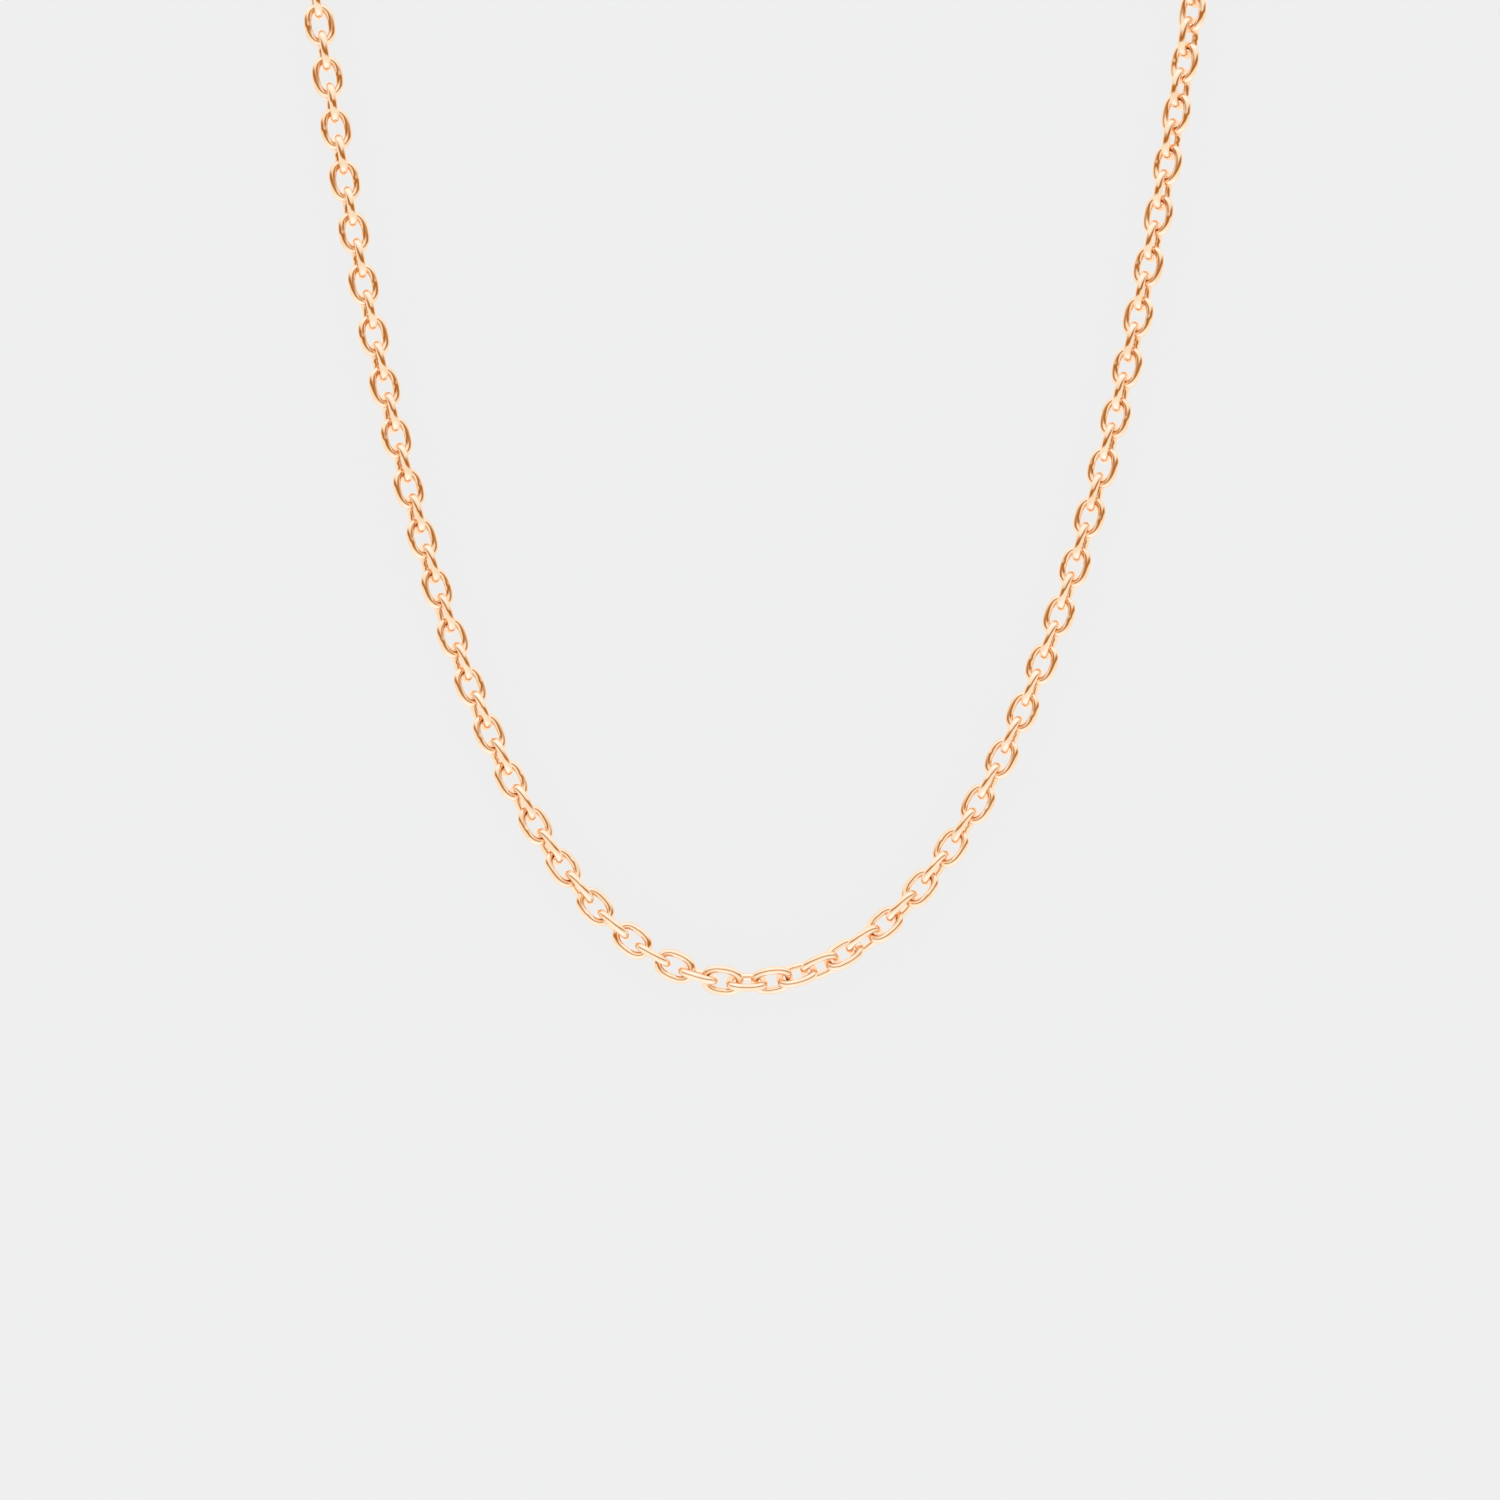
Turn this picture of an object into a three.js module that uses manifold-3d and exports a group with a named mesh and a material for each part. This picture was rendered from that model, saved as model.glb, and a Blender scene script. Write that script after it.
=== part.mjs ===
// A 45 cm cable chain necklace, laid flat in a U with its clasp open. Millimetres, +Z up.
// The chain's links lie and stand in turn. Each arm of the U follows half a catenary that starts
// at the lowest link. Links that stay in line are joined into rigid pairs and runs of four, and
// every piece turns where its bow meets the last, nearer the bow of the more upright link.
// The origin is under the middle of the whole necklace, on the surface it lies on.
import * as THREE from 'three';
import * as BufferGeometryUtils from 'three/addons/utils/BufferGeometryUtils.js';
import Module from 'manifold-3d';

const wasm = await Module();
wasm.setup();

// Links: oval rings of round wire, measured to the middle of the wire
const WIRE_RADIUS = 0.5;
const LINK_HALF_WIDTH = 1.45;
const LINK_HALF_LENGTH = 2.16;
const JOINED_PITCH = 3.38; // a little over the taut pitch, so that joined links meet

// Arms: the catenary's radius at the bend, the link pitch at the bend and far up the arm, and the
// numbers of links in each piece, from the bend outwards
const PITCH_EASE = 20;
const LEFT_ARM = {
  name: 'left', side: -1, bend: 20.26, slackPitch: 3.05, tautPitch: 3.3, singles: 6, pairs: 11, runs: 9, tails: 1,
};
const RIGHT_ARM = {
  name: 'right', side: 1, bend: 21.48, slackPitch: 3.142, tautPitch: 3.217, singles: 6, pairs: 10, runs: 10, tails: 0,
};

// Twist of the chain about its own line, in degrees, by link number: negative on the left arm
const TWIST = [
  [-65, 0], [-44, 10], [-34, 17], [-22, 25], [-9, 24], [-6, 8], [-3, 0], [0, -24],
  [3, -45], [7, -66], [12, -73], [24, -71], [34, -65], [43, -52], [66, 0],
];

// Clasp hardware, in a frame with X outwards along the chain
const JUMP_RING = { radius: 2.0, wire: 0.4, height: 2.4, fromLinkBow: 0.9 };
const END_RING = { radius: 2.0, wire: 0.5, nearHeight: 1.6, insideLinkBow: 1.1 };
const EYE = { inner: 1.2, outer: 2.0, bottom: 1.15, top: 2.05, fromRing: 2.1 };
const CLAW = { thickness: 3.2, bowX: 7.9, outer: 3.0, inner: 1.8, throatX: 5.6, mouthRadius: 4.5, mouthX: 5.4 };
const SLOT = { x0: 2.5, y0: -0.9, half: 0.7 };
const PIN = { x: 4.2, y: 1.0, radius: 0.4, holeRadius: 0.5 };
const TRIGGER = { reach: 4.35, boss: 0.95, thin: 0.6, thick: 1.2, thickX: 5.9 };
const SPRING = { half: 0.45, thickness: 0.2 };

const roseGold = new THREE.MeshStandardMaterial({ color: 0xe6a26b, roughness: 0.12, metalness: 1.0 });
const claspGold = new THREE.MeshStandardMaterial({ color: 0xe2a071, roughness: 0.15, metalness: 1.0 });
const springSteel = new THREE.MeshStandardMaterial({ color: 0xb8b8ba, roughness: 0.3, metalness: 1.0 });

// Solids

function toSolid(geometry) {
  const bare = geometry.clone();
  bare.deleteAttribute('normal');
  bare.deleteAttribute('uv');
  const merged = BufferGeometryUtils.mergeVertices(bare, 1e-4);
  return new wasm.Manifold(new wasm.Mesh({
    numProp: 3,
    vertProperties: new Float32Array(merged.attributes.position.array),
    triVerts: new Uint32Array(merged.index.array),
  }));
}

function toGeometry(solid) {
  const mesh = solid.getMesh();
  const geometry = new THREE.BufferGeometry();
  geometry.setAttribute('position', new THREE.BufferAttribute(new Float32Array(mesh.vertProperties), 3));
  geometry.setIndex(new THREE.BufferAttribute(new Uint32Array(mesh.triVerts), 1));
  geometry.computeVertexNormals();
  return geometry;
}

function disc(x, y, radius, bottom, top, sides = 32) {
  const geometry = new THREE.CylinderGeometry(radius, radius, top - bottom, sides);
  geometry.rotateX(Math.PI / 2);
  geometry.translate(x, y, (bottom + top) / 2);
  return toSolid(geometry);
}

function slab(shape, bottom, top) {
  const options = { depth: top - bottom, bevelEnabled: false, curveSegments: 10 };
  const geometry = new THREE.ExtrudeGeometry(shape, options);
  geometry.translate(0, 0, bottom);
  return toSolid(geometry);
}

function block(x0, y0, z0, x1, y1, z1) {
  const geometry = new THREE.BoxGeometry(x1 - x0, y1 - y0, z1 - z0);
  geometry.translate((x0 + x1) / 2, (y0 + y1) / 2, (z0 + z1) / 2);
  return toSolid(geometry);
}

function piece(name, geometry, material, pivot = new THREE.Vector3()) {
  geometry.translate(-pivot.x, -pivot.y, -pivot.z);
  const mesh = new THREE.Mesh(geometry, material);
  mesh.name = name;
  mesh.position.copy(pivot);
  return mesh;
}

// Chain line

function twistAt(number) {
  const after = TWIST.findIndex(([at]) => at >= number);
  const [n1, d1] = TWIST[after];
  const [n0, d0] = TWIST[Math.max(after - 1, 0)];
  const part = n1 === n0 ? 0 : (number - n0) / (n1 - n0);
  return THREE.MathUtils.degToRad(d0 + part * (d1 - d0));
}

function distanceTo(arm, number) {
  const give = (arm.tautPitch - arm.slackPitch) * PITCH_EASE;
  return arm.tautPitch * number - give * (1 - Math.exp(-number / PITCH_EASE));
}

// A link's place at a distance from the lowest link: even links stand and odd links lie, both
// leaning by the chain's twist, and the chain runs as high as its widest lean needs
function linkAt(arm, number, distance) {
  const slope = Math.hypot(arm.bend, distance);
  const along = new THREE.Vector3((arm.side * arm.bend) / slope, distance / slope, 0);
  const inward = new THREE.Vector3(-arm.side * along.y, Math.abs(along.x), 0);
  const twist = twistAt(arm.side * number);
  const upShare = Math.cos(twist);
  const inShare = Math.sin(twist);
  const across = number % 2 === 0
    ? inward.clone().multiplyScalar(inShare).setZ(upShare)
    : inward.clone().multiplyScalar(upShare).setZ(-inShare);
  const reach = Math.max(Math.abs(upShare), Math.abs(inShare));
  const centre = new THREE.Vector3(
    arm.side * arm.bend * Math.asinh(distance / arm.bend),
    slope - arm.bend,
    LINK_HALF_WIDTH * reach + WIRE_RADIUS,
  );
  return { centre, along, across, uprightness: across.z ** 2 };
}

function bowOf(link, direction) {
  return link.centre.clone().addScaledVector(link.along, direction * LINK_HALF_LENGTH);
}

function linkGeometry(link) {
  const corner = Math.PI / 8;
  const flat = Math.cos(corner);
  const geometry = new THREE.TorusGeometry(LINK_HALF_WIDTH / flat, WIRE_RADIUS / flat, 6, 8);
  geometry.rotateZ(corner);
  geometry.scale(1, 1, flat);
  const straight = LINK_HALF_LENGTH - LINK_HALF_WIDTH;
  const position = geometry.attributes.position;
  for (let i = 0; i < position.count; i += 1) {
    position.setX(i, position.getX(i) + Math.sign(position.getX(i)) * straight);
  }
  const normal = new THREE.Vector3().crossVectors(link.along, link.across);
  const place = new THREE.Matrix4().makeBasis(link.along, link.across, normal);
  place.setPosition(link.centre);
  geometry.applyMatrix4(place);
  return geometry;
}

// Consecutive links as one rigid piece, spread about their middle so that each meets the next
function linksFrom(arm, first, count) {
  const middle = (distanceTo(arm, first) + distanceTo(arm, first + count - 1)) / 2;
  return Array.from({ length: count }, (_, i) => {
    const offset = (i - (count - 1) / 2) * JOINED_PITCH;
    return linkAt(arm, first + i, middle + offset);
  });
}

function joinedLinks(links) {
  const solids = links.map((link) => toSolid(linkGeometry(link)));
  return toGeometry(solids.reduce((whole, solid) => whole.add(solid)));
}

function armCounts(arm) {
  return [
    ...Array(arm.singles).fill(['link', 1]),
    ...Array(arm.pairs).fill(['pair', 2]),
    ...Array(arm.runs).fill(['run', 4]),
    ...Array(arm.tails).fill(['tail', 1]),
  ];
}

function chainArm(arm, lowest) {
  const meshes = [];
  const made = {};
  let first = 1;
  let before = lowest;
  for (const [kind, count] of armCounts(arm)) {
    made[kind] = (made[kind] ?? 0) + 1;
    const links = linksFrom(arm, first, count);
    const share = before.uprightness / (before.uprightness + links[0].uprightness);
    const pivot = bowOf(links[0], -1).lerp(bowOf(before, 1), share);
    meshes.push(piece(`${arm.name}_${kind}_${made[kind]}`, joinedLinks(links), roseGold, pivot));
    before = links[count - 1];
    first += count;
  }
  return { meshes, last: before };
}

// Clasp and rings

function hardwareFrame(link) {
  const frame = new THREE.Group();
  frame.position.set(0, 0, 0).add(bowOf(link, 1)).setZ(0);
  frame.rotation.z = Math.atan2(link.along.y, link.along.x);
  return frame;
}

function jumpRing() {
  const { radius, wire, height, fromLinkBow } = JUMP_RING;
  const geometry = new THREE.TorusGeometry(radius, wire, 8, 20);
  geometry.rotateX(Math.PI / 2);
  geometry.translate(fromLinkBow, 0, height);
  const rise = LINK_HALF_WIDTH + WIRE_RADIUS - height;
  const pivot = new THREE.Vector3(fromLinkBow - Math.sqrt(radius ** 2 - rise ** 2), 0, height + rise);
  return piece('clasp_jump_ring', geometry, claspGold, pivot);
}

// The end ring leans from the last link's bow down to the surface
function endRing() {
  const { radius, wire, nearHeight, insideLinkBow } = END_RING;
  const lean = Math.asin((nearHeight - wire) / (2 * radius));
  const geometry = new THREE.TorusGeometry(radius, wire, 8, 20);
  geometry.rotateY(lean);
  geometry.translate(radius * Math.cos(lean) - insideLinkBow, 0, (nearHeight + wire) / 2);
  return piece('end_ring', geometry, claspGold, new THREE.Vector3(0, 0, nearHeight));
}

// The claw seen from above: a neck that widens from the eye into a round hook
function clawShape() {
  const shape = new THREE.Shape();
  shape.moveTo(1.5, -0.9);
  shape.quadraticCurveTo(3.4, -2.8, CLAW.bowX, -CLAW.outer);
  shape.absarc(CLAW.bowX, 0, CLAW.outer, -Math.PI / 2, Math.PI / 2, false);
  shape.quadraticCurveTo(3.4, 2.7, 1.5, 0.9);
  return shape;
}

function throatShape() {
  const shape = new THREE.Shape();
  shape.moveTo(CLAW.bowX, -CLAW.inner);
  shape.absarc(CLAW.bowX, 0, CLAW.inner, -Math.PI / 2, Math.PI / 2, false);
  shape.lineTo(CLAW.throatX + 0.5, CLAW.inner);
  shape.quadraticCurveTo(CLAW.throatX - 0.5, 0, CLAW.throatX + 0.5, -CLAW.inner);
  return shape;
}

function claspBody() {
  const { thickness, mouthX, mouthRadius } = CLAW;
  const middle = thickness / 2;
  const beyond = 1;
  const mouth = disc(PIN.x, PIN.y, mouthRadius, -beyond, thickness + beyond, 48)
    .intersect(block(mouthX, 0, -beyond, 12, 6, thickness + beyond));
  const slot = block(SLOT.x0, SLOT.y0, middle - SLOT.half, CLAW.throatX + beyond, 6, middle + SLOT.half);
  const eyeHole = disc(0, 0, EYE.inner, EYE.bottom - beyond, EYE.top + beyond, 24);
  const solid = slab(clawShape(), 0, thickness)
    .subtract(slab(throatShape(), -beyond, thickness + beyond))
    .subtract(mouth)
    .subtract(slot)
    .subtract(disc(PIN.x, PIN.y, PIN.holeRadius, -beyond, thickness + beyond, 24))
    .add(disc(0, 0, EYE.outer, EYE.bottom, EYE.top, 24).subtract(eyeHole));
  return piece('clasp_body', toGeometry(solid), claspGold);
}

// The gate bar and thumb lever, drawn about the pin
function gateShape() {
  const shape = new THREE.Shape();
  shape.moveTo(PIN.x, PIN.y - TRIGGER.boss);
  shape.lineTo(PIN.x + 1.1, PIN.y - 0.6);
  shape.quadraticCurveTo(PIN.x + 2.2, PIN.y + 0.55, PIN.x + TRIGGER.reach, PIN.y + 0.65);
  shape.lineTo(PIN.x + TRIGGER.reach, PIN.y + 1.75);
  shape.quadraticCurveTo(PIN.x + 2.9, PIN.y + 1.95, PIN.x + 1.9, PIN.y + 1.75);
  shape.lineTo(PIN.x + 1.3, PIN.y + 3.1);
  shape.lineTo(PIN.x + 0.4, PIN.y + 3.3);
  shape.lineTo(PIN.x + 0.5, PIN.y + 1.4);
  shape.lineTo(PIN.x - 0.6, PIN.y + 0.7);
  shape.lineTo(PIN.x - 0.6, PIN.y);
  return shape;
}

function claspTrigger() {
  const middle = CLAW.thickness / 2;
  const { thin, thick, thickX, boss, reach } = TRIGGER;
  const outline = gateShape();
  const inSlot = slab(outline, middle - thin, middle + thin)
    .add(disc(PIN.x, PIN.y, boss, middle - thin, middle + thin, 24));
  const inMouth = slab(outline, middle - thick, middle + thick)
    .intersect(block(thickX, 0, 0, 12, 3.2, CLAW.thickness));
  const tipSweep = disc(PIN.x, PIN.y, reach, 0, CLAW.thickness, 48);
  const solid = inSlot.add(inMouth)
    .intersect(tipSweep)
    .subtract(disc(PIN.x, PIN.y, PIN.holeRadius, -1, CLAW.thickness + 1, 24));
  return piece('clasp_trigger', toGeometry(solid), claspGold, new THREE.Vector3(PIN.x, PIN.y, middle));
}

function claspPin() {
  const edge = 0.05;
  const solid = disc(PIN.x, PIN.y, PIN.radius, edge, CLAW.thickness - edge, 20);
  return piece('clasp_pin', toGeometry(solid), claspGold);
}

// A hairpin of flat spring on the slot's floor that presses under the trigger's heel
function claspSpring() {
  const t = SPRING.thickness;
  const floor = SLOT.y0 + 0.1;
  const shape = new THREE.Shape();
  shape.moveTo(5.2, floor);
  shape.lineTo(5.2, floor + t);
  shape.lineTo(3.2, floor + t);
  shape.absarc(3.2, floor + 0.4, 0.4 - t, -Math.PI / 2, Math.PI / 2, true);
  shape.lineTo(5.2, floor + 0.8 - t);
  shape.lineTo(5.2, floor + 0.8);
  shape.lineTo(3.2, floor + 0.8);
  shape.absarc(3.2, floor + 0.4, 0.4, Math.PI / 2, -Math.PI / 2, false);
  const middle = CLAW.thickness / 2;
  return piece('clasp_spring', toGeometry(slab(shape, middle - SPRING.half, middle + SPRING.half)), springSteel);
}

function clasp() {
  const group = new THREE.Group();
  group.position.set(JUMP_RING.fromLinkBow + EYE.fromRing, 0, 0);
  group.add(claspBody(), claspTrigger(), claspPin(), claspSpring());
  return group;
}

// The whole necklace

const lowest = linkAt(RIGHT_ARM, 0, 0);
const leftArm = chainArm(LEFT_ARM, { ...lowest, along: lowest.along.clone().negate() });
const rightArm = chainArm(RIGHT_ARM, lowest);

const leftEnd = hardwareFrame(leftArm.last);
leftEnd.add(jumpRing(), clasp());

const rightEnd = hardwareFrame(rightArm.last);
rightEnd.add(endRing());

const necklace = new THREE.Group();
necklace.add(piece('centre_link', linkGeometry(lowest), roseGold));
necklace.add(...leftArm.meshes, ...rightArm.meshes, leftEnd, rightEnd);

necklace.updateMatrixWorld(true);
const box = new THREE.Box3().setFromObject(necklace, true);
const middle = box.getCenter(new THREE.Vector3());
necklace.position.set(-middle.x, -middle.y, -box.min.z);

export default necklace;
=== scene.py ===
import math

import bpy
import numpy as np
from mathutils import Matrix, Vector


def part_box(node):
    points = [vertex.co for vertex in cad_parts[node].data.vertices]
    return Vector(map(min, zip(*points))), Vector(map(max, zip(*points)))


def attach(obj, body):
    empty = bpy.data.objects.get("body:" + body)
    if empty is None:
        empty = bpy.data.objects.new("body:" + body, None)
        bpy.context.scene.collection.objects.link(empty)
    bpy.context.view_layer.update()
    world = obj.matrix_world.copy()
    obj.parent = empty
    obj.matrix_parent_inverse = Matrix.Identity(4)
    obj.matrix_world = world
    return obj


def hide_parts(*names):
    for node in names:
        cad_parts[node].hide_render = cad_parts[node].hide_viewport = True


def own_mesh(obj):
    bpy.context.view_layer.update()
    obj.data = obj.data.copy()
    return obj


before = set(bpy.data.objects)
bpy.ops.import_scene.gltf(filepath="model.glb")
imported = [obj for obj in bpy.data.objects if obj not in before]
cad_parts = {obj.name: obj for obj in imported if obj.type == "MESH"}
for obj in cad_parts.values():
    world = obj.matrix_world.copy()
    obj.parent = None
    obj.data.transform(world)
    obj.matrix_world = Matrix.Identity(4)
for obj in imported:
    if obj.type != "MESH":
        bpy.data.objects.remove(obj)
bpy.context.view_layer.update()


# Chain links. A cable chain is oval links of round wire, bent round a mandrel, threaded through
# each other a quarter turn apart and soldered shut at one side. They lie and stand in turn along
# the frame's own line: half a catenary on each side of the lowest link, in metres.

WIRE_RADIUS = 0.0005
LINK_HALF_WIDTH = 0.00145
LINK_HALF_LENGTH = 0.00216
OVAL_POWER = 2.5  # 2 is an ellipse, and more is squarer
LINK_STEPS = 72
FINE_STEPS = 1441
SEAM_SWELL = 0.035
SEAM_SPREAD = 0.0003
PITCH_EASE = 20  # links over which the pitch goes from slack to taut

LEFT_ARM = dict(name="left", side=-1, bend=0.02026, slack=0.00305, taut=0.0033)
RIGHT_ARM = dict(name="right", side=1, bend=0.02148, slack=0.003142, taut=0.003217)
LEFT_PIECES = [("link", 6, 1), ("pair", 11, 2), ("run", 9, 4), ("tail", 1, 1)]
RIGHT_PIECES = [("link", 6, 1), ("pair", 10, 2), ("run", 10, 4)]

# (link number, degrees of lean), with the left arm's links as negative numbers
TWIST = [
    (-65, 0), (-44, 10), (-34, 17), (-22, 25), (-9, 24), (-6, 8), (-3, 0), (0, -24),
    (3, -45), (7, -66), (12, -73), (24, -71), (34, -65), (43, -52), (66, 0),
]

centre_low, centre_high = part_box("centre_link")
LOWEST = (centre_low + centre_high) / 2
LOWEST.z = 0


class Socket:
    """A socket of a shader's node tree, so that what changes over a surface is written as sums."""

    def __init__(self, tree, socket=None):
        self.tree = tree
        self.socket = socket

    def node(self, kind, settings=None, values=None, output=0):
        made = self.tree.nodes.new(kind)
        for name, setting in (settings or {}).items():
            setattr(made, name, setting)
        for name, value in (values or {}).items():
            if isinstance(value, Socket):
                self.tree.links.new(value.socket, made.inputs[name])
            else:
                made.inputs[name].default_value = value
        return Socket(self.tree, made.outputs[output])

    def math(self, operation, second=0.0):
        return self.node("ShaderNodeMath", {"operation": operation}, {0: self, 1: second})

    def mix(self, low, high):
        settings = {"data_type": "RGBA"}
        return self.node("ShaderNodeMix", settings, {0: self, 6: low, 7: high}, output=2)

    def between(self, low, high):
        values = {"Value": self, "From Min": low, "From Max": high}
        return self.node("ShaderNodeMapRange", {"interpolation_type": "SMOOTHSTEP"}, values)

    def __add__(self, other):
        return self.math("ADD", other)

    def __sub__(self, other):
        return self.math("SUBTRACT", other)

    def __rsub__(self, other):
        return self.math("MULTIPLY", -1.0).math("ADD", other)

    def __mul__(self, other):
        return self.math("MULTIPLY", other)

    __radd__ = __add__
    __rmul__ = __mul__


# patches for each metre, and how hard the buff's marks are to feel
CLOUDS, HAIRLINES, SMEARS = 420, 9000, 1500
ALONG_THE_BUFF = (1, 0.12, 1)
MARK_STRENGTH, MARK_DEPTH = 0.06, 0.00002


def polished_metal(name, deep, pale, roughness, brushed=0.05):
    """Polished metal: faint cloudy colour, finger-worn gloss, and hairlines left by the buff."""
    material = bpy.data.materials.new(name)
    material.use_nodes = True
    tree = material.node_tree
    shader = tree.nodes["Principled BSDF"]
    start = Socket(tree)
    place = start.node("ShaderNodeTexCoord", output="Object")

    def noise(scale, detail, stretch=(1, 1, 1)):
        stretched = start.node(
            "ShaderNodeVectorMath", {"operation": "MULTIPLY"}, {0: place, 1: stretch}
        )
        values = {"Vector": stretched, "Scale": scale, "Detail": detail}
        return start.node("ShaderNodeTexNoise", None, values)

    clouds = noise(CLOUDS, 3).between(0.35, 0.65)
    hairlines = noise(HAIRLINES, 2, ALONG_THE_BUFF).between(0.56, 0.72)
    smears = noise(SMEARS, 4).between(0.45, 0.75)
    colour = clouds.mix((*deep, 1), (*pale, 1))
    gloss = roughness + smears * 0.05 + hairlines * brushed
    marks = {
        "Strength": MARK_STRENGTH, "Distance": MARK_DEPTH, "Height": hairlines * 0.25 + smears,
    }
    bump = start.node("ShaderNodeBump", None, marks)
    tree.links.new(colour.socket, shader.inputs["Base Color"])
    tree.links.new(gloss.socket, shader.inputs["Roughness"])
    tree.links.new(bump.socket, shader.inputs["Normal"])
    shader.inputs["Metallic"].default_value = 1.0
    return material


def swept_ring(centre_line, radii, sides=20, closed=True):
    """Corners and faces of round wire along a flat line of points, whose plane is z = 0."""
    count = len(centre_line)
    ahead = np.roll(centre_line, -1, 0) - np.roll(centre_line, 1, 0)
    if not closed:
        ahead[0] = centre_line[1] - centre_line[0]
        ahead[-1] = centre_line[-1] - centre_line[-2]
    ahead /= np.linalg.norm(ahead, axis=1)[:, None]
    outward = np.stack([ahead[:, 1], -ahead[:, 0], np.zeros(count)], 1)
    turn = np.linspace(0, 2 * math.pi, sides, endpoint=False)
    up = np.array([0, 0, 1])
    round_wire = outward[:, None] * np.cos(turn)[None, :, None] + up * np.sin(turn)[None, :, None]
    corners = centre_line[:, None] + round_wire * radii[:, None, None]
    faces = []
    for i in range(count if closed else count - 1):
        for j in range(sides):
            a, b = i * sides, (i + 1) % count * sides
            k = (j + 1) % sides
            faces.append((a + j, b + j, b + k, a + k))
    if not closed:
        faces.append(tuple(range(sides)))
        faces.append(tuple(range(count * sides - 1, (count - 1) * sides - 1, -1)))
    return corners.reshape(-1, 3), faces


def link_shape(seam_side):
    """An oval of wire with corners at even steps, and a slight swell where it is soldered."""
    turn = np.linspace(0, 2 * math.pi, FINE_STEPS)
    power = 2 / OVAL_POWER
    x = LINK_HALF_LENGTH * np.sign(np.cos(turn)) * np.abs(np.cos(turn)) ** power
    y = LINK_HALF_WIDTH * np.sign(np.sin(turn)) * np.abs(np.sin(turn)) ** power
    travelled = np.concatenate([[0], np.cumsum(np.hypot(np.diff(x), np.diff(y)))])
    even = np.linspace(0, travelled[-1], LINK_STEPS, endpoint=False)
    line = np.stack([np.interp(even, travelled, x), np.interp(even, travelled, y), 0 * even], 1)
    swell = SEAM_SWELL * np.exp(-((line[:, 0] / SEAM_SPREAD) ** 2))
    swell[line[:, 1] * seam_side < 0] = 0
    radii = WIRE_RADIUS * (1 + swell)
    return swept_ring(line, radii)


def link_place(arm, number):
    """Where a link is: even ones stand and odd ones lie, both leaning by the chain's twist."""
    give = (arm["taut"] - arm["slack"]) * PITCH_EASE
    distance = arm["taut"] * number - give * (1 - math.exp(-number / PITCH_EASE))
    slope = math.hypot(arm["bend"], distance)
    along = Vector((arm["side"] * arm["bend"] / slope, distance / slope, 0))
    inward = Vector((-arm["side"] * along.y, abs(along.x), 0))
    twist = math.radians(np.interp(arm["side"] * number, *zip(*TWIST)))
    up = Vector((0, 0, 1))
    if number % 2 == 0:
        across = up * math.cos(twist) + inward * math.sin(twist)
    else:
        across = inward * math.cos(twist) - up * math.sin(twist)
    reach = max(abs(math.cos(twist)), abs(math.sin(twist)))
    centre = LOWEST + Vector((
        arm["side"] * arm["bend"] * math.asinh(distance / arm["bend"]),
        slope - arm["bend"],
        LINK_HALF_WIDTH * reach + WIRE_RADIUS,
    ))
    axes = Matrix((along, across, along.cross(across))).transposed().to_4x4()
    return Matrix.Translation(centre) @ axes


def show(name, corners, faces, place, body, nodes, slot, material):
    """A finished piece: its mesh is put in place, and it rides on a body and stands for its nodes."""
    mesh = bpy.data.meshes.new(name)
    mesh.from_pydata([place @ Vector(c) for c in corners], [], faces)
    mesh.shade_smooth()
    mesh.materials.append(material)
    shown = bpy.data.objects.new(name, mesh)
    bpy.context.scene.collection.objects.link(shown)
    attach(shown, body)
    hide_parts(*nodes)
    return shown


chain_gold = polished_metal(
    "chain_rose_gold", deep=(0.93, 0.64, 0.42), pale=(0.96, 0.7, 0.49), roughness=0.06
)


def thread_arm(arm, pieces):
    """Makes an arm's links outwards from the lowest one, and gives back how many there are."""
    number = 0
    for kind, count, length in pieces:
        for piece in range(1, count + 1):
            node = f"{arm['name']}_{kind}_{piece}"
            for _ in range(length):
                number += 1
                corners, faces = link_shape(seam_side=1 if number % 4 < 2 else -1)
                show(
                    f"{arm['name']}_oval_link_{number:02d}", corners, faces,
                    link_place(arm, number), node, [node], "rose_gold_chain", chain_gold,
                )
    return number


show(
    "centre_oval_link", *link_shape(seam_side=1), link_place(RIGHT_ARM, 0),
    "centre_link", ["centre_link"], "rose_gold_chain", chain_gold,
)
left_count = thread_arm(LEFT_ARM, LEFT_PIECES)
right_count = thread_arm(RIGHT_ARM, RIGHT_PIECES)


# Clasp jump ring. A ring of thinner round wire joins the chain's left end to the clasp. It is
# bent round a rod, sawn through and closed, so its two flat ends meet in a hairline gap.

JUMP_RADIUS = 0.002
JUMP_WIRE = 0.0004
JUMP_HEIGHT = 0.0024
JUMP_FROM_BOW = 0.0009
JUMP_GAP = 0.00004
JUMP_GAP_AT = math.radians(75)

clasp_gold = polished_metal(
    "clasp_rose_gold", deep=(0.91, 0.58, 0.37), pale=(0.94, 0.66, 0.46), roughness=0.11
)


def end_place(arm, number):
    """The frame of an end's hardware: X goes on along the chain from the last link's bow."""
    last = link_place(arm, number)
    along = last.to_3x3().col[0]
    bow = last.translation + along * LINK_HALF_LENGTH
    bow.z = 0
    return Matrix.Translation(bow) @ Matrix.Rotation(math.atan2(along.y, along.x), 4, "Z")


def cut_ring(radius, wire, gap, gap_at, steps=96):
    """A ring of wire that starts and stops on the two sides of a gap."""
    half = gap / radius / 2
    turn = np.linspace(gap_at + half, gap_at + 2 * math.pi - half, steps)
    line = radius * np.stack([np.cos(turn), np.sin(turn), 0 * turn], 1)
    return swept_ring(line, np.full(steps, wire), sides=24, closed=False)


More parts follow.
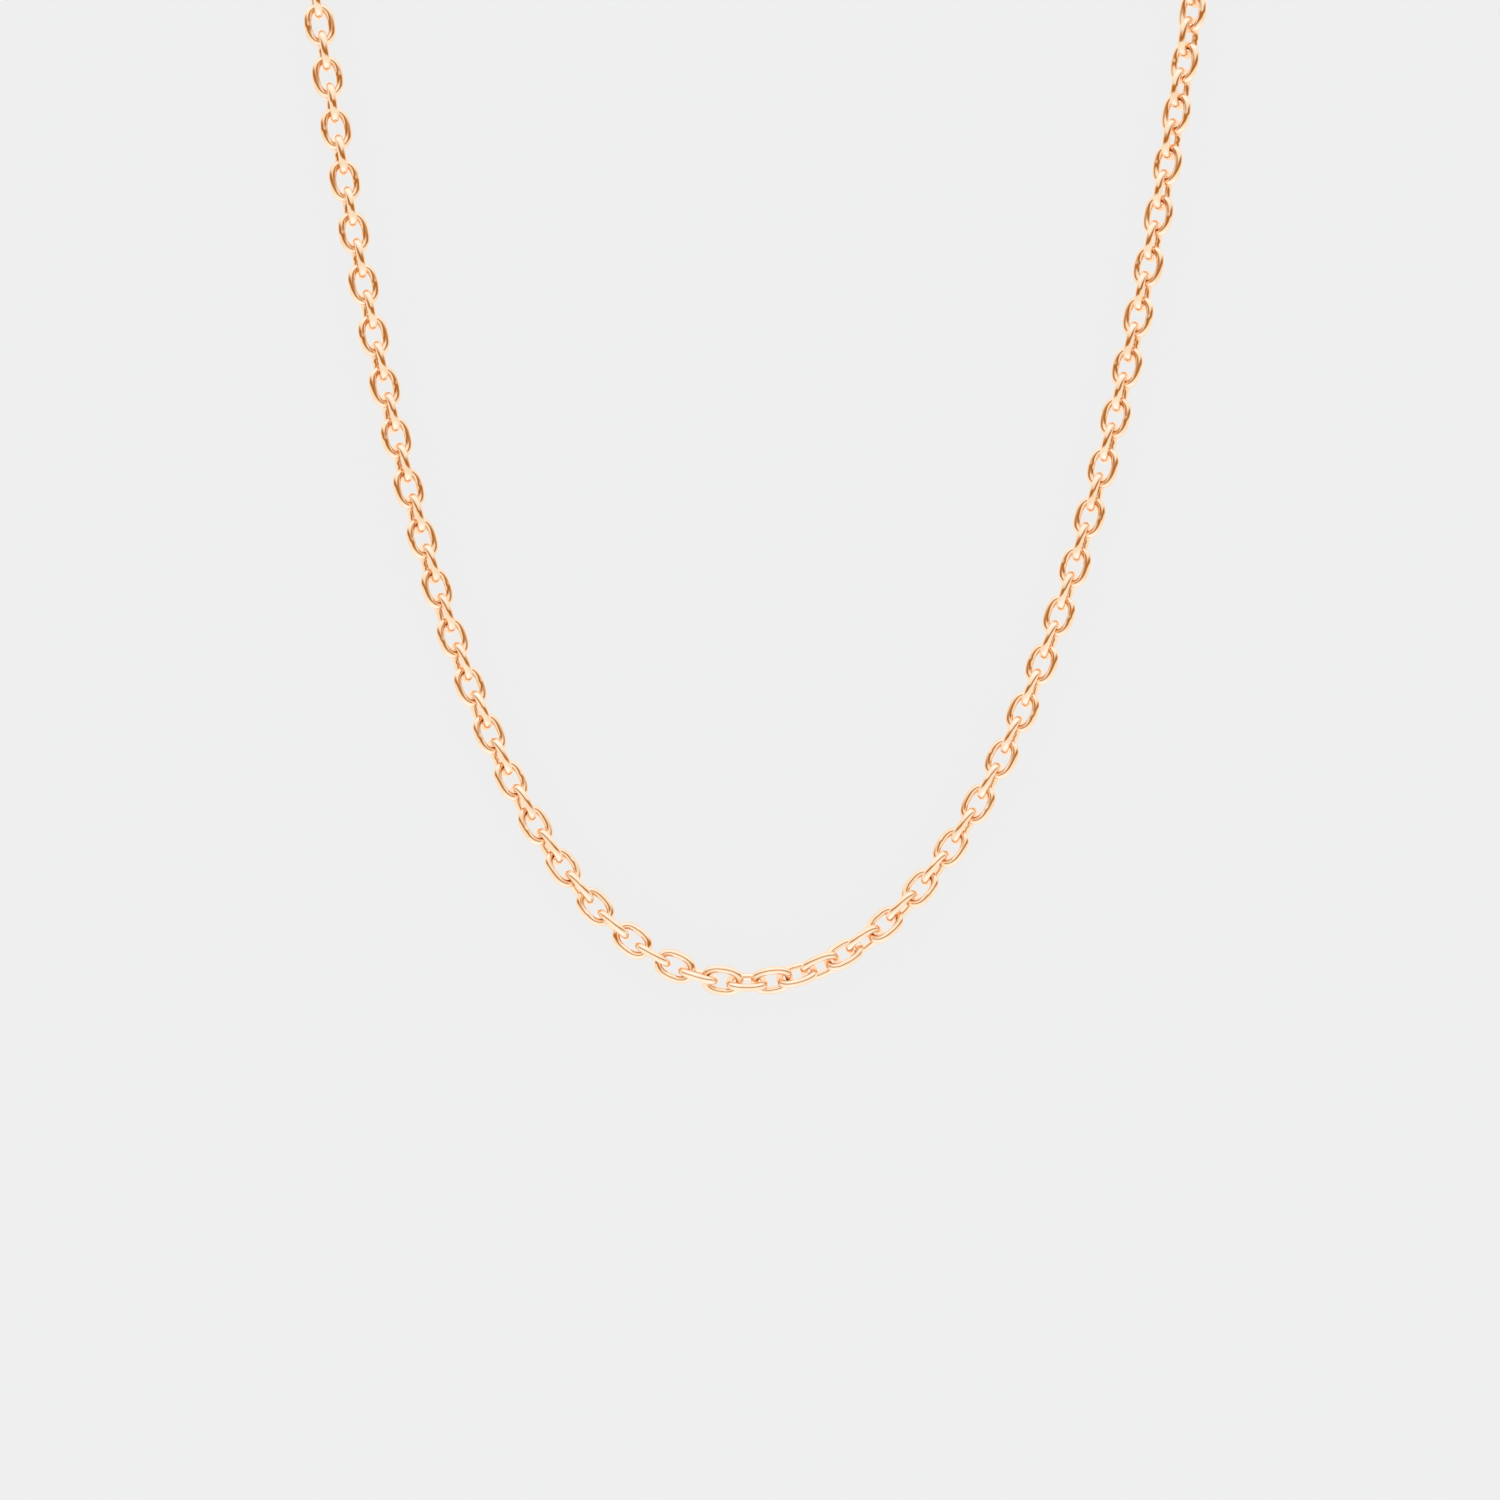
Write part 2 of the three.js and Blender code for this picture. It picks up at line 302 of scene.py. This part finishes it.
left_end = end_place(LEFT_ARM, left_count)
upright = Matrix.Translation((JUMP_FROM_BOW, 0, JUMP_HEIGHT)) @ Matrix.Rotation(math.pi / 2, 4, "X")
show(
    "clasp_jump_ring_wire", *cut_ring(JUMP_RADIUS, JUMP_WIRE, JUMP_GAP, JUMP_GAP_AT),
    left_end @ upright, "clasp_jump_ring", ["clasp_jump_ring"], "rose_gold_clasp", clasp_gold,
)


# Clasp body. The lobster claw is cast in one piece: a tail eye, a neck split by a slot into two
# cheeks, and a round hook. Casting and tumbling leave its edges soft and its faces domed. From
# here on the clasp's sizes are in millimetres, X along it and Z up.

MM = 0.001
EYE_FROM_RING = 2.1
THICKNESS = 3.2
MIDDLE = THICKNESS / 2
BEYOND = 1.0
EYE_INNER, EYE_OUTER = 1.2, 2.0
EYE_BOTTOM, EYE_TOP = 1.15, 2.05
HOOK_X, HOOK_OUTER, THROAT_INNER = 7.9, 3.0, 1.8
THROAT_X = 5.6
MOUTH_X, MOUTH_RADIUS = 5.4, 4.5
SLOT_X, SLOT_FLOOR, SLOT_HALF = 2.5, -0.9, 0.7
PIN_X, PIN_Y, PIN_RADIUS, PIN_HOLE = 4.2, 1.0, 0.4, 0.5


def arc(x, y, radius, start, stop, steps=48):
    turn = np.radians(np.linspace(start, stop, steps))
    return [(x + radius * math.cos(t), y + radius * math.sin(t)) for t in turn]


def circle(x, y, radius, steps=60):
    return arc(x, y, radius, 0, 360 - 360 / steps, steps)


def curve(start, pull, stop, steps=24):
    share = np.linspace(0, 1, steps)[:, None]
    a, b, c = (np.array(p, float) for p in (start, pull, stop))
    return [tuple(p) for p in a * (1 - share) ** 2 + 2 * b * share * (1 - share) + c * share**2]


def slab(outline, bottom, top):
    """A flat-sided solid in millimetres from an outline that runs anticlockwise."""
    kept = [p for i, p in enumerate(outline) if math.dist(p, outline[i - 1]) > 1e-6]
    count = len(kept)
    corners = [(x, y, z) for z in (bottom, top) for x, y in kept]
    sides = [(i, (i + 1) % count, count + (i + 1) % count, count + i) for i in range(count)]
    mesh = bpy.data.meshes.new("solid")
    mesh.from_pydata(corners, [], [*sides, range(count)[::-1], range(count, 2 * count)])
    solid = bpy.data.objects.new("solid", mesh)
    bpy.context.scene.collection.objects.link(solid)
    return solid


def rectangle(x0, y0, x1, y1):
    return [(x0, y0), (x1, y0), (x1, y1), (x0, y1)]


def settle(solid):
    """Makes a solid's modifiers part of its mesh."""
    evaluated = solid.evaluated_get(bpy.context.evaluated_depsgraph_get())
    mesh = bpy.data.meshes.new_from_object(evaluated)
    solid.modifiers.clear()
    solid.data = mesh


def combine(solid, tool, operation):
    """Joins a tool to a solid or cuts it away, and uses the tool up."""
    modifier = solid.modifiers.new("combine", "BOOLEAN")
    modifier.operation = operation
    modifier.solver = "EXACT"
    modifier.object = tool
    settle(solid)
    bpy.data.objects.remove(tool)
    return solid


def tumble(solid, grain, passes):
    """Wears a solid's edges round, as tumbling does, on a fine even mesh."""
    remesh = solid.modifiers.new("remesh", "REMESH")
    remesh.mode = "VOXEL"
    remesh.voxel_size = grain
    smooth = solid.modifiers.new("smooth", "SMOOTH")
    smooth.factor = 0.5
    smooth.iterations = passes
    settle(solid)


def crown(solid, top_x, reach, drop, core):
    """Domes a solid's flat faces along its length. Below the core's half thickness nothing moves."""
    for vertex in solid.data.vertices:
        height = vertex.co.z - MIDDLE
        share = max(0, abs(height) - core) / (MIDDLE - core)
        vertex.co.z -= math.copysign(drop * share * ((vertex.co.x - top_x) / reach) ** 2, height)


def finish_solid(name, solid, place, body, nodes, slot, material):
    """Turns a solid in millimetres into a finished piece in metres."""
    corners = [v.co * MM for v in solid.data.vertices]
    faces = [tuple(p.vertices) for p in solid.data.polygons]
    bpy.data.objects.remove(solid)
    return show(name, corners, faces, place, body, nodes, slot, material)


claw_outline = [
    *curve((1.5, -0.9), (3.4, -2.8), (HOOK_X, -HOOK_OUTER)),
    *arc(HOOK_X, 0, HOOK_OUTER, -90, 90),
    *curve((HOOK_X, HOOK_OUTER), (3.4, 2.7), (1.5, 0.9)),
]
throat_outline = [
    *arc(HOOK_X, 0, THROAT_INNER, -90, 90),
    *curve((THROAT_X + 0.5, THROAT_INNER), (THROAT_X - 0.5, 0), (THROAT_X + 0.5, -THROAT_INNER)),
]
mouth = slab(circle(PIN_X, PIN_Y, MOUTH_RADIUS, 120), -BEYOND, THICKNESS + BEYOND)
combine(mouth, slab(rectangle(MOUTH_X, 0, 12, 6), -2 * BEYOND, THICKNESS + 2 * BEYOND), "INTERSECT")
eye = slab(circle(0, 0, EYE_OUTER), EYE_BOTTOM, EYE_TOP)
combine(eye, slab(circle(0, 0, EYE_INNER), 0, THICKNESS), "DIFFERENCE")
slot_block = slab(
    rectangle(SLOT_X, SLOT_FLOOR, THROAT_X + BEYOND, 6), MIDDLE - SLOT_HALF, MIDDLE + SLOT_HALF
)
pin_hole = slab(circle(PIN_X, PIN_Y, PIN_HOLE, 40), -BEYOND, THICKNESS + BEYOND)

claw = slab(claw_outline, 0, THICKNESS)
combine(claw, slab(throat_outline, -BEYOND, THICKNESS + BEYOND), "DIFFERENCE")
combine(claw, mouth, "DIFFERENCE")
combine(claw, eye, "UNION")
tumble(claw, grain=0.075, passes=70)
crown(claw, top_x=5, reach=6, drop=0.5, core=0.45)
combine(claw, slot_block, "DIFFERENCE")
combine(claw, pin_hole, "DIFFERENCE")
tumble(claw, grain=0.06, passes=5)

clasp_place = left_end @ Matrix.Translation((JUMP_FROM_BOW + EYE_FROM_RING * MM, 0, 0))
finish_solid(
    "clasp_claw", claw, clasp_place, "clasp", ["clasp_body"], "rose_gold_clasp", clasp_gold
)


# Clasp trigger. A gate bar with a thumb lever, cast like the body. It turns on the pin between
# the cheeks and shuts the hook's mouth; the bar is thicker where it leaves the slot.

TRIGGER_REACH = 4.35
TRIGGER_BOSS = 0.95
TRIGGER_THIN, TRIGGER_THICK = 0.6, 1.2
TRIGGER_THICK_X = 5.9


def from_pin(*points):
    return [(PIN_X + x, PIN_Y + y) for x, y in points]


gate_outline = [
    *from_pin((0, -TRIGGER_BOSS), (1.1, -0.6)),
    *curve(*from_pin((1.1, -0.6), (2.2, 0.55), (TRIGGER_REACH, 0.65))),
    *curve(*from_pin((TRIGGER_REACH, 1.75), (2.9, 1.95), (1.9, 1.75))),
    *from_pin((1.3, 3.1), (0.4, 3.3), (0.5, 1.4), (-0.6, 0.7), (-0.6, 0)),
]
trigger = slab(gate_outline, MIDDLE - TRIGGER_THIN, MIDDLE + TRIGGER_THIN)
boss = slab(circle(PIN_X, PIN_Y, TRIGGER_BOSS), MIDDLE - TRIGGER_THIN, MIDDLE + TRIGGER_THIN)
bar = slab(gate_outline, MIDDLE - TRIGGER_THICK, MIDDLE + TRIGGER_THICK)
combine(bar, slab(rectangle(TRIGGER_THICK_X, 0, 12, 3.2), -BEYOND, THICKNESS + BEYOND), "INTERSECT")
combine(trigger, boss, "UNION")
combine(trigger, bar, "UNION")
sweep = slab(circle(PIN_X, PIN_Y, TRIGGER_REACH, 120), -BEYOND, THICKNESS + BEYOND)
combine(trigger, sweep, "INTERSECT")
combine(trigger, slab(circle(PIN_X, PIN_Y, PIN_HOLE, 40), 0, THICKNESS), "DIFFERENCE")
tumble(trigger, grain=0.06, passes=24)
finish_solid(
    "clasp_gate", trigger, clasp_place, "clasp_trigger", ["clasp_trigger"],
    "rose_gold_clasp", clasp_gold,
)


# Clasp pin. A rivet of hard wire through both cheeks and the trigger. Hammering swells it tight
# in the cheeks' holes and turns its ends into low domes.

PIN_BOTTOM, PIN_TOP = 0.02, 3.24
PIN_SWELL = 0.485
SWELL_IN = 0.1  # how far into each cheek the swell starts
DOME = 0.14


def turned(profile, sides=40):
    """A solid turned about Z from a profile of (radius, height), both ends on the axis."""
    turn = np.linspace(0, 2 * math.pi, sides, endpoint=False)
    corners = [(0, 0, profile[0][1])]
    for radius, height in profile[1:-1]:
        corners += [(radius * math.cos(t), radius * math.sin(t), height) for t in turn]
    corners.append((0, 0, profile[-1][1]))
    faces = []
    rows = len(profile) - 2
    last = len(corners) - 1
    for j in range(sides):
        k = (j + 1) % sides
        faces.append((0, 1 + k, 1 + j))
        for i in range(rows - 1):
            a, b = 1 + i * sides, 1 + (i + 1) * sides
            faces.append((a + j, a + k, b + k, b + j))
        faces.append((last, 1 + (rows - 1) * sides + j, 1 + (rows - 1) * sides + k))
    return corners, faces


dome = [
    (PIN_SWELL * math.sin(t), DOME * (1 - math.cos(t))) for t in np.linspace(0, math.pi / 2, 8)
]
slot_bottom, slot_top = MIDDLE - SLOT_HALF, MIDDLE + SLOT_HALF
pin_profile = [
    *((radius, PIN_BOTTOM + rise) for radius, rise in dome),
    (PIN_SWELL, slot_bottom - SWELL_IN), (PIN_RADIUS, slot_bottom),
    (PIN_RADIUS, slot_top), (PIN_SWELL, slot_top + SWELL_IN),
    *((radius, PIN_TOP - rise) for radius, rise in reversed(dome)),
]
pin_corners, pin_faces = turned(pin_profile)
pin_place = clasp_place @ Matrix.Translation((PIN_X * MM, PIN_Y * MM, 0))
show(
    "clasp_rivet", [Vector(c) * MM for c in pin_corners], pin_faces, pin_place,
    "clasp", ["clasp_pin"], "rose_gold_clasp", clasp_gold,
)


# Clasp spring. A hairpin of flat spring steel lies on the slot's floor and presses the trigger's
# heel, so that the gate shuts by itself. Its legs close a little when the trigger is pressed in.

SPRING_HALF = 0.45
SPRING_THICKNESS = 0.2
SPRING_X0, SPRING_X1 = 3.2, 5.2
SPRING_RADIUS = 0.4
SPRING_ABOVE_FLOOR = 0.1
SPRING_EDGE = 0.04

spring_floor = SLOT_FLOOR + SPRING_ABOVE_FLOOR
spring_middle = spring_floor + SPRING_RADIUS
inside = SPRING_RADIUS - SPRING_THICKNESS
spring_outline = [
    (SPRING_X1, spring_floor + 2 * SPRING_RADIUS),
    *arc(SPRING_X0, spring_middle, SPRING_RADIUS, 90, 270, 24),
    (SPRING_X1, spring_floor),
    (SPRING_X1, spring_floor + SPRING_THICKNESS),
    *arc(SPRING_X0, spring_middle, inside, 270, 90, 24),
    (SPRING_X1, spring_floor + 2 * SPRING_RADIUS - SPRING_THICKNESS),
]
spring_steel = polished_metal(
    "spring_steel", deep=(0.5, 0.5, 0.51), pale=(0.6, 0.6, 0.62), roughness=0.24, brushed=0.12
)
spring = slab(spring_outline, MIDDLE - SPRING_HALF, MIDDLE + SPRING_HALF)
edges = spring.modifiers.new("edges", "BEVEL")
edges.width = SPRING_EDGE
edges.segments = 3
settle(spring)
hairpin = finish_solid(
    "clasp_hairpin", spring, clasp_place, "clasp", ["clasp_spring"], "spring_steel", spring_steel
)
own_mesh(hairpin)


# End ring. A larger ring on the chain's right end, soldered shut, that the claw hooks into. It
# leans from the last link's lower wire down to the surface. Its sizes are in metres.

END_RADIUS = 0.002
END_WIRE = 0.0005
END_NEAR_HEIGHT = 0.0016
END_INSIDE_BOW = 0.0011
END_SEAM_AT = 1.2

lean = math.asin((END_NEAR_HEIGHT - END_WIRE) / (2 * END_RADIUS))
ring_turn = np.linspace(0, 2 * math.pi, 96, endpoint=False)
ring_line = END_RADIUS * np.stack([np.cos(ring_turn), np.sin(ring_turn), 0 * ring_turn], 1)
seam = np.exp(-(((ring_turn - END_SEAM_AT) * END_RADIUS / SEAM_SPREAD) ** 2))
ring_place = end_place(RIGHT_ARM, right_count) @ Matrix.Translation((
    END_RADIUS * math.cos(lean) - END_INSIDE_BOW, 0, (END_NEAR_HEIGHT + END_WIRE) / 2
)) @ Matrix.Rotation(lean, 4, "Y")
show(
    "end_ring_wire", *swept_ring(ring_line, END_WIRE * (1 + SEAM_SWELL * seam), sides=24),
    ring_place, "end_ring", ["end_ring"], "rose_gold_clasp", clasp_gold,
)


# Floor, light and camera. The necklace lies on a plain pale sheet in an even, bright light tent,
# which has one darker warm gap across its top, and the camera looks straight down.

PALE = 0.863
MIRRORED_PALE = 1.1  # the sheet as the metal mirrors it, lit harder than it looks
MATT_SHARE = 0.05
FLOOR_HALF = 1.5
FLOOR_Z = -0.00001

floor_mesh = bpy.data.meshes.new("floor")
floor_mesh.from_pydata(
    [(x * FLOOR_HALF, y * FLOOR_HALF, FLOOR_Z) for x, y in ((-1, -1), (1, -1), (1, 1), (-1, 1))],
    [], [(0, 1, 2, 3)],
)
floor = bpy.data.objects.new("floor", floor_mesh)
bpy.context.scene.collection.objects.link(floor)

paper = bpy.data.materials.new("pale_paper")
paper.use_nodes = True
paper_tree = paper.node_tree
paper_start = Socket(paper_tree)
paper_tree.nodes.remove(paper_tree.nodes["Principled BSDF"])
sheet_seen = paper_start.node("ShaderNodeLightPath", output="Is Camera Ray")
mirrored = paper_start.node("ShaderNodeEmission", None, {"Strength": MIRRORED_PALE})
straight = paper_start.node("ShaderNodeEmission", None, {"Strength": PALE})
glow = paper_start.node("ShaderNodeMixShader", None, {0: sheet_seen, 1: mirrored, 2: straight})
matt = paper_start.node("ShaderNodeBsdfDiffuse", None, {"Color": (0.9, 0.9, 0.9, 1)})
paper_mix = paper_start.node("ShaderNodeMixShader", None, {0: MATT_SHARE, 1: glow, 2: matt})
paper_tree.links.new(paper_mix.socket, paper_tree.nodes["Material Output"].inputs["Surface"])
floor_mesh.materials.append(paper)

LINING = (1.02, 1.1, 1.09, 1)
BRIGHT_ENDS = (1.11, 1.42, 1.78, 1)
ENDS_RISE = (0.15, 0.6)
DARK_GAP = (0.47, 0.2, 0.03, 1)
GAP_AT, GAP_LEAN = 0.02, 0.1
GAP_NEAR_EDGE = (-0.12, -0.03)
GAP_FAR_EDGE = (0.11, 0.04)
GAP_SPREAD = 0.3  # how much further the far edge is at the gap's sides
GAP_SIDES = (0.95, 0.45)

world = bpy.data.worlds.new("light_tent")
bpy.context.scene.world = world
world.use_nodes = True
tent = Socket(world.node_tree)
direction = tent.node("ShaderNodeTexCoord", output="Generated")

# the tent's colours are laid out by the tilt of the metal that mirrors them straight up
upwards = tent.node("ShaderNodeVectorMath", {"operation": "ADD"}, {0: direction, 1: (0, 0, 1)})
tilt = tent.node("ShaderNodeVectorMath", {"operation": "NORMALIZE"}, {0: upwards})
tilt_across = tent.node("ShaderNodeSeparateXYZ", None, {0: tilt}, output="X").math("ABSOLUTE")
tilt_along = tent.node("ShaderNodeSeparateXYZ", None, {0: tilt}, output="Y")
past_gap = tilt_along - tilt_across * GAP_LEAN - GAP_AT
far_start, far_end = GAP_FAR_EDGE
gap = past_gap.between(*GAP_NEAR_EDGE)
gap = gap * past_gap.between(far_start + tilt_across * GAP_SPREAD, far_end)
gap = gap * tilt_across.between(*GAP_SIDES)
ends = tilt_along.math("ABSOLUTE").between(*ENDS_RISE)
lining = gap.mix(ends.mix(LINING, BRIGHT_ENDS), DARK_GAP)
light = tent.node("ShaderNodeBackground", None, {"Color": lining, "Strength": 1.0})
plain = tent.node("ShaderNodeBackground", None, {"Color": (PALE, PALE, PALE, 1), "Strength": 1.0})
tent_seen = tent.node("ShaderNodeLightPath", output="Is Camera Ray")
both = tent.node("ShaderNodeMixShader", None, {0: tent_seen, 1: light, 2: plain})
world.node_tree.links.new(both.socket, world.node_tree.nodes["World Output"].inputs["Surface"])

PICTURE_WIDTH = 0.186
PICTURE_ASIDE, PICTURE_ABOVE = 0.0004, 0.0288  # of the lowest link
LENS, SENSOR = 100, 36
camera_data = bpy.data.cameras.new("camera")
camera_data.lens = LENS
camera_data.sensor_width = SENSOR
camera_data.clip_start = 0.01
camera = bpy.data.objects.new("camera", camera_data)
bpy.context.scene.collection.objects.link(camera)
chain_height = LINK_HALF_WIDTH + WIRE_RADIUS
camera_height = chain_height + PICTURE_WIDTH * LENS / SENSOR
camera.location = LOWEST + Vector((PICTURE_ASIDE, PICTURE_ABOVE, camera_height))
bpy.context.scene.camera = camera
bpy.context.scene.view_settings.view_transform = "Standard"
